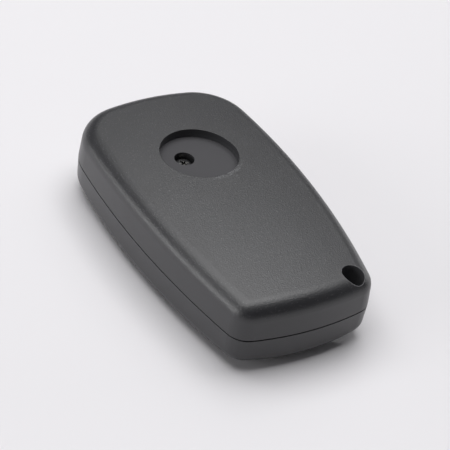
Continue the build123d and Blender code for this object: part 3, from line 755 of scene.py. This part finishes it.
# %% Pad sizes
pad_low, pad_high = (Vector(corner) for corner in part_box("button_pad"))
SHEET_THICKNESS = 0.8 * MM
SHEET_CORNER = 1.5 * MM
SHEET_ROUND = 0.08 * MM
CHANNEL_WIDTH = 0.8 * MM
CHANNEL_DEPTH = 0.3 * MM
DOME_WALL = 0.5 * MM
DOME_BASE = 2.9 * MM
DOME_TIP = 1.7 * MM
DOME_TAPER = (0.55, 0.55, 1.0)
DOME_ROUND = 0.1 * MM
PILL_RADIUS = 1.0 * MM
PILL_THICKNESS = 0.3 * MM
PILL_ROUND = 0.06 * MM
KEYS = {"lock_button": "lock_press", "boot_button": "boot_press", "unlock_button": "unlock_press"}

sheet_low = pad_high.z - SHEET_THICKNESS
dome_height = sheet_low - pad_low.z
pad_centre = middle(pad_low, pad_high)
key_places = []
for key in KEYS:
    low, high = (Vector(corner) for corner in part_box(key))
    key_places.append(middle(low, high))
print("dome height mm", round(dome_height / MM, 2))

# %% Pad sheet


def round_edges(piece, width, angle):
    """Rounds the edges of a piece that are sharper than an angle in degrees."""
    limit = radians(angle)
    modify(piece, "BEVEL", width=width, segments=2, limit_method="ANGLE", angle_limit=limit)


start_clean()
bpy.ops.mesh.primitive_cube_add(
    size=1, location=(pad_centre.x, pad_centre.y, (sheet_low + pad_high.z) / 2)
)
sheet = named("pad_sheet")
sheet.scale = (pad_high.x - pad_low.x, pad_high.y - pad_low.y, SHEET_THICKNESS)
bpy.ops.object.transform_apply(location=True, scale=True)
edit_faces(sheet, lambda face: False)
bpy.ops.mesh.select_mode(type="EDGE")
leave_edit()
for edge in sheet.data.edges:
    first, second = (sheet.data.vertices[index].co for index in edge.vertices)
    edge.select = abs(first.z - second.z) > SHEET_THICKNESS / 2
bpy.ops.object.mode_set(mode="EDIT")
bpy.ops.mesh.bevel(offset=SHEET_CORNER, segments=8, affect="EDGES")
leave_edit()

# %% Pad holes and channel
for where in key_places:
    start_clean()
    bpy.ops.mesh.primitive_cylinder_add(
        vertices=48,
        radius=DOME_BASE - DOME_WALL,
        depth=4 * SHEET_THICKNESS,
        location=(where.x, where.y, sheet_low),
    )
    cut(sheet, named("pad_hole"))
start_clean()
first, last = key_places[0], key_places[-1]
bpy.ops.mesh.primitive_cube_add(size=1, location=(first.x, (first.y + last.y) / 2, pad_high.z))
channel = named("pad_channel")
channel.scale = (CHANNEL_WIDTH, abs(first.y - last.y), 2 * CHANNEL_DEPTH)
cut(sheet, channel)
round_edges(sheet, SHEET_ROUND, 50)
settle(sheet)
coat(sheet, silicone_finish)
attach(sheet, "case")
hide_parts("button_pad")

# %% [markdown]
# ### The domes
#
# A dome is a hollow cone: its flat tip stands on the key's post, its wide rim hangs on the sheet.
# It could be a turned profile, but a cone whose wide face is inset and pushed in
# gets its wall in two steps.
# The conductive pill is a stiffer rubber, so it keeps its own dark finish inside the dome.

# %% Pad domes


def hollow_dome(name, where):
    """A cone that is open towards the sheet."""
    start_clean()
    bpy.ops.mesh.primitive_cone_add(
        vertices=64,
        radius1=DOME_TIP,
        radius2=DOME_BASE,
        depth=dome_height,
        location=(where.x, where.y, pad_low.z + dome_height / 2),
    )
    dome = named(name)
    edit_faces(dome, faces_up)
    bpy.ops.mesh.inset(thickness=DOME_WALL)
    down = {"value": (0, 0, DOME_WALL - dome_height)}
    bpy.ops.mesh.extrude_region_move(TRANSFORM_OT_translate=down)
    bpy.ops.transform.resize(value=DOME_TAPER, center_override=dome.location)
    leave_edit()
    round_edges(dome, DOME_ROUND, 30)
    dome.data.materials.append(silicone_finish)
    return dome


def conductive_pill(where):
    """The disc inside the dome that meets the board."""
    start_clean()
    bpy.ops.mesh.primitive_cylinder_add(
        vertices=48,
        radius=PILL_RADIUS,
        depth=PILL_THICKNESS,
        location=(where.x, where.y, pad_low.z + DOME_WALL + PILL_THICKNESS / 2),
    )
    pill = named("conductive_pill")
    round_edges(pill, PILL_ROUND, 50)
    pill.data.materials.append(pill_finish)
    return pill


for (key, joint), where in zip(KEYS.items(), key_places):
    dome = hollow_dome(key.replace("button", "dome"), where)
    join(dome, conductive_pill(where))
    settle(dome)
    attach(dome, "case")
    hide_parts("button_pad")
    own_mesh(dome)

# %% [markdown]
# ## The flip spring
#
# One coil of round wire throws the blade open and pushes the release button out again.
# As the button goes in, the turns close up towards the cup.
# The lower leg sits in a hole of the button and turns with it, so it is a piece of its own.
# A curve with a round bevel could draw it too, and would have to be made a mesh at the end.
# The Screw modifier winds a small circle into the mesh at once, and a thin rod makes each leg.

# %% Spring sizes
spring_foot = Vector(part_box("flip_spring")[0]).z
cup_low, cup_high = (Vector(corner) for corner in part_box("spring_cup"))
spring_x, spring_y, _ = middle(cup_low, cup_high)
WIRE_RADIUS = 0.35 * MM
COIL_RADIUS = 2.8 * MM
COIL_TURNS = 5
COIL_STEPS = 40
SPRING_LEG = 0.7 * MM
LEG_ROUND = 0.1 * MM
coil_foot = spring_foot + SPRING_LEG
coil_length = cup_low.z - coil_foot
turn_pitch = (coil_length - 2 * WIRE_RADIUS) / COIL_TURNS
print("coil length mm", round(coil_length / MM, 2), "pitch mm", round(turn_pitch / MM, 2))

# %% Spring coil
start_clean()
bpy.ops.mesh.primitive_circle_add(
    vertices=16, radius=WIRE_RADIUS, location=(0, 0, 0), rotation=(pi / 2, 0, 0)
)
coil = named("flip_spring_coil")
bpy.ops.object.transform_apply(rotation=True)
for point in coil.data.vertices:
    point.co.x += COIL_RADIUS
wind(coil, turn_pitch, COIL_TURNS, COIL_STEPS)
coil.location = (spring_x, spring_y, coil_foot + WIRE_RADIUS)

# %% Spring legs


def spring_leg(name, low, high):
    """A rod with rounded ends that carries the wire on into a hole."""
    start_clean()
    bpy.ops.mesh.primitive_cylinder_add(
        vertices=24,
        radius=WIRE_RADIUS,
        depth=high - low,
        location=(spring_x + COIL_RADIUS, spring_y, (low + high) / 2),
    )
    leg = named(name)
    round_edges(leg, LEG_ROUND, 50)
    return leg


upper_leg = spring_leg(
    "flip_spring_upper_leg", cup_low.z - 2 * WIRE_RADIUS, cup_low.z + SPRING_LEG
)
lower_leg = spring_leg("flip_spring_lower_leg", spring_foot, coil_foot + WIRE_RADIUS)
join(coil, upper_leg)
for piece, body in ((coil, "case"), (lower_leg, "release")):
    settle(piece)
    coat(piece, wire_finish)
    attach(piece, body)
    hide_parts("flip_spring")
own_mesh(coil)

# %% [markdown]
# ## The table
#
# The key lies on a seamless pale table. More light could make a grey table pale,
# but it would wash out the key. Here the tone is the colour of the paper itself,
# so the lamps can stay at a level that suits the key, and the shadow stays on it.

# %% Table
TABLE_SIZE = 4.0
PAPER = (0.80, 0.786, 0.81)

start_clean()
bpy.ops.mesh.primitive_plane_add(size=TABLE_SIZE, location=(0, 0, 0))
table = named("table")
table_finish, tree, shader = finish("table_paper")
feed(shader, Base_Color=(*PAPER, 1), Roughness=0.6)
table.data.materials.append(table_finish)
print("table", [round(length, 2) for length in table.dimensions])

# %% [markdown]
# ## The lamps
#
# Black plastic shows hardly any colour of its own: the eye reads the soft panels that it mirrors.
# One large box hangs above and behind the key and gives the face its even grey.
# A wall behind fills the far edge, and low strips left and right draw the side walls and the rim.
# Two small panels above soften the shadow. Each brightness is in units of white paper.
# A bright sky alone could light the key too, but then nothing would draw its edges.
# A faint one only keeps the deepest corners from going black.

# %% Lamps


def softbox(name, where, width, height, brightness):
    """A soft panel at a place, aimed at the key. Brightness 1 is as bright as white paper."""
    data = bpy.data.lights.new(name, "AREA")
    data.shape = "RECTANGLE"
    data.size = width
    data.size_y = height
    data.energy = brightness * pi * width * height
    made = bpy.data.objects.new(name, data)
    bpy.context.scene.collection.objects.link(made)
    made.location = where
    made.rotation_mode = "QUATERNION"
    made.rotation_quaternion = (-Vector(where)).to_track_quat("-Z", "Y")


softbox("overhead_box", (0.0, 0.22, 0.95), width=1.1, height=0.9, brightness=3.1)
softbox("tent_wall", (0.52, 0.70, 0.67), width=0.8, height=0.7, brightness=0.62)
softbox("left_panel", (-0.9, 0.05, 0.3), width=0.6, height=0.5, brightness=2.2)
softbox("left_strip", (-0.8, 0.42, 0.09), width=0.6, height=0.16, brightness=5.0)
softbox("right_strip", (0.9, 0.1, 0.15), width=0.7, height=0.3, brightness=2.0)
softbox("upper_left_panel", (-0.5, 0.3, 0.8), width=0.6, height=0.6, brightness=0.6)
softbox("upper_right_panel", (0.5, 0.1, 0.85), width=0.6, height=0.6, brightness=0.9)
print("lamps", len(bpy.data.lights))

# %% Faint sky
SKY = (0.95, 0.95, 1.0)
SKY_STRENGTH = 0.03

world = bpy.data.worlds.new("studio")
bpy.context.scene.world = world
world.use_nodes = True
feed(world.node_tree.nodes["Background"], Color=(*SKY, 1), Strength=SKY_STRENGTH)
print("sky strength", SKY_STRENGTH)

# %% [markdown]
# ## The camera
#
# A long lens keeps the sides of the key almost parallel, as product photographs do.
# It could be aimed at the key's middle, which leaves its tilt and its shift to a guess.
# Its three axes are written out instead, fitted to the outline, the badge recess
# and the ring hole.

# %% Camera
camera_data = bpy.data.cameras.new("camera")
camera_data.sensor_width = 36.0
camera_data.lens = 179.5
camera_data.clip_start = 0.05
camera_data.clip_end = 20.0
camera = bpy.data.objects.new("camera", camera_data)
bpy.context.scene.collection.objects.link(camera)
right = Vector((0.85754, -0.49202, 0.15016))
up = Vector((0.20942, 0.60051, 0.77171))
forward = Vector((0.46987, 0.63032, -0.61800))
camera.matrix_world = (
    Matrix.Translation((-0.211418, -0.285213, 0.286362))
    @ Matrix((right, up, -forward)).transposed().to_4x4()
)
bpy.context.scene.camera = camera
bpy.context.scene.view_settings.view_transform = "Standard"
print("camera distance", round(camera.matrix_world.translation.length, 3))
